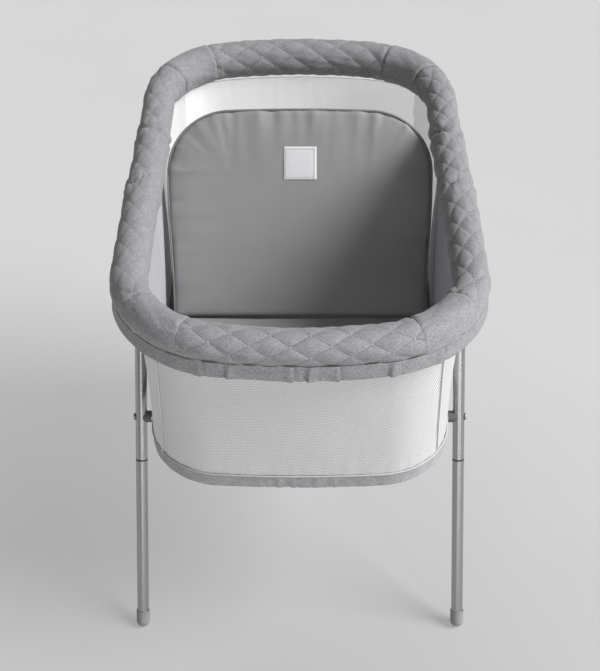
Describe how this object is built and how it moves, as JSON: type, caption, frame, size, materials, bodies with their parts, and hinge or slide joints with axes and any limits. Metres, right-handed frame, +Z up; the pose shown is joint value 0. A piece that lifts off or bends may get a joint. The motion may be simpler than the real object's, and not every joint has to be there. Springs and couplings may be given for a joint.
{
  "type": "folding bassinet",
  "caption": "Baby bassinet with a padded rim, net basket and propped mattress, on a folding A-frame stand of plug-in tubes.",
  "frame": {"origin": "on the floor under the middle of the basket", "axes": "+Z up, +X across the basket to the right, +Y along the basket to the head end; the foot end is at -Y"},
  "size_m": [0.579, 0.8858, 0.745],
  "materials": {
    "leg_metal": "satin grey, metallic",
    "hidden_metal": "satin",
    "fastener_steel": "satin",
    "grey_plastic": "matte",
    "dark_plastic": "matte",
    "quilted_cloth": "light grey melange, quilted",
    "mesh_cloth": "open net, pale grey",
    "mattress_cloth": "smooth mid grey",
    "label_cloth": "smooth white woven label, blank",
    "board": "matte panel"
  },
  "bodies": {
    "front_rim": {"rim_tube_front": "hidden_metal", "rim_roll_front": "quilted_cloth", "skirt_front": "quilted_cloth", "basket_wall_front": "mesh_cloth", "basket_base_front": "quilted_cloth", "base_board_front": "board", "mattress_foot": "mattress_cloth", "rim_plug_front_left": "grey_plastic", "rim_plug_front_right": "grey_plastic", "pivot_bolts": "fastener_steel", "pivot_nuts": "fastener_steel", "hub_spacers": "grey_plastic", "hub_sleeve_left": "quilted_cloth", "hub_sleeve_right": "quilted_cloth", "button_spring_left": "fastener_steel", "button_spring_right": "fastener_steel"},
    "rear_rim": {"rim_tube_rear": "hidden_metal", "rim_roll_rear": "quilted_cloth", "skirt_rear": "quilted_cloth", "basket_wall_rear": "mesh_cloth", "basket_base_rear": "quilted_cloth", "base_board_rear": "board", "rim_plug_rear_left": "grey_plastic", "rim_plug_rear_right": "grey_plastic"},
    "backrest": {"mattress_head": "mattress_cloth", "head_board": "board", "label_patch": "label_cloth", "prop_clips": "grey_plastic"},
    "prop": {"backrest_prop": "hidden_metal"},
    "front_legs": {"leg_upper_front_left": "leg_metal", "leg_upper_front_right": "leg_metal", "leg_knuckle_front_left": "grey_plastic", "leg_knuckle_front_right": "grey_plastic", "leg_bushes_front": "dark_plastic", "cross_bar_front": "leg_metal", "bar_saddles_front": "grey_plastic", "bar_bolts_front": "fastener_steel"},
    "rear_legs": {"leg_upper_rear_left": "leg_metal", "leg_upper_rear_right": "leg_metal", "leg_knuckle_rear_left": "grey_plastic", "leg_knuckle_rear_right": "grey_plastic", "leg_bushes_rear": "dark_plastic", "cross_bar_rear": "leg_metal", "bar_saddles_rear": "grey_plastic", "bar_bolts_rear": "fastener_steel"},
    "lower_leg_front_left": {"leg_lower_front_left": "leg_metal", "foot_cap_front_left": "grey_plastic"},
    "lower_leg_front_right": {"leg_lower_front_right": "leg_metal", "foot_cap_front_right": "grey_plastic"},
    "lower_leg_rear_left": {"leg_lower_rear_left": "leg_metal", "foot_cap_rear_left": "grey_plastic"},
    "lower_leg_rear_right": {"leg_lower_rear_right": "leg_metal", "foot_cap_rear_right": "grey_plastic"},
    "button_left": {"fold_button_left": "grey_plastic"},
    "button_right": {"fold_button_right": "grey_plastic"}
  },
  "joints": [
    {"name": "frame_fold", "type": "hinge", "parent": "front_rim", "child": "rear_rim", "pos_m": [0, 0, 0.715], "axis": [-1, 0, 0], "range_deg": [0, 116], "deforming": ["hub_sleeve_left", "hub_sleeve_right", "basket_wall_front", "basket_wall_rear", "basket_base_front", "basket_base_rear", "base_board_front", "base_board_rear", "mattress_foot", "mattress_head", "head_board", "skirt_front", "skirt_rear"]},
    {"name": "front_leg_fold", "type": "hinge", "parent": "front_rim", "child": "front_legs", "pos_m": [0, 0, 0.715], "axis": [-1, 0, 0], "range_deg": [0, 33.65]},
    {"name": "rear_leg_fold", "type": "hinge", "parent": "front_rim", "child": "rear_legs", "pos_m": [0, 0, 0.715], "axis": [-1, 0, 0], "range_deg": [0, 82.45]},
    {"name": "backrest_tilt", "type": "hinge", "parent": "rear_rim", "child": "backrest", "pos_m": [0, 0, 0.4346], "axis": [-1, 0, 0], "range_deg": [0, 60]},
    {"name": "prop_swing", "type": "hinge", "parent": "backrest", "child": "prop", "pos_m": [0, 0.09135, 0.52042], "axis": [1, 0, 0], "range_deg": [0, 103.25]},
    {"name": "leg_pull_front_left", "type": "slide", "parent": "front_legs", "child": "lower_leg_front_left", "axis": [-0.0218, -0.413, -0.9105], "range_m": [0, 0.06]},
    {"name": "leg_pull_front_right", "type": "slide", "parent": "front_legs", "child": "lower_leg_front_right", "axis": [0.0218, -0.413, -0.9105], "range_m": [0, 0.06]},
    {"name": "leg_pull_rear_left", "type": "slide", "parent": "rear_legs", "child": "lower_leg_rear_left", "axis": [-0.0218, 0.413, -0.9105], "range_m": [0, 0.06]},
    {"name": "leg_pull_rear_right", "type": "slide", "parent": "rear_legs", "child": "lower_leg_rear_right", "axis": [0.0218, 0.413, -0.9105], "range_m": [0, 0.06]},
    {"name": "button_press_left", "type": "slide", "parent": "front_rim", "child": "button_left", "axis": [-1, 0, 0], "range_m": [0, 0.0022], "stiffness_N_per_m": 900, "springref_m": -0.001, "deforming": ["button_spring_left"]},
    {"name": "button_press_right", "type": "slide", "parent": "front_rim", "child": "button_right", "axis": [1, 0, 0], "range_m": [0, 0.0022], "stiffness_N_per_m": 900, "springref_m": -0.001, "deforming": ["button_spring_right"]}
  ],
  "couplings": [
    {"joint": "front_leg_fold", "follows": "frame_fold", "ratio": 0.28967},
    {"joint": "rear_leg_fold", "follows": "frame_fold", "ratio": 0.71033},
    {"joint": "prop_swing", "follows": "backrest_tilt", "ratio": 1.72}
  ]
}
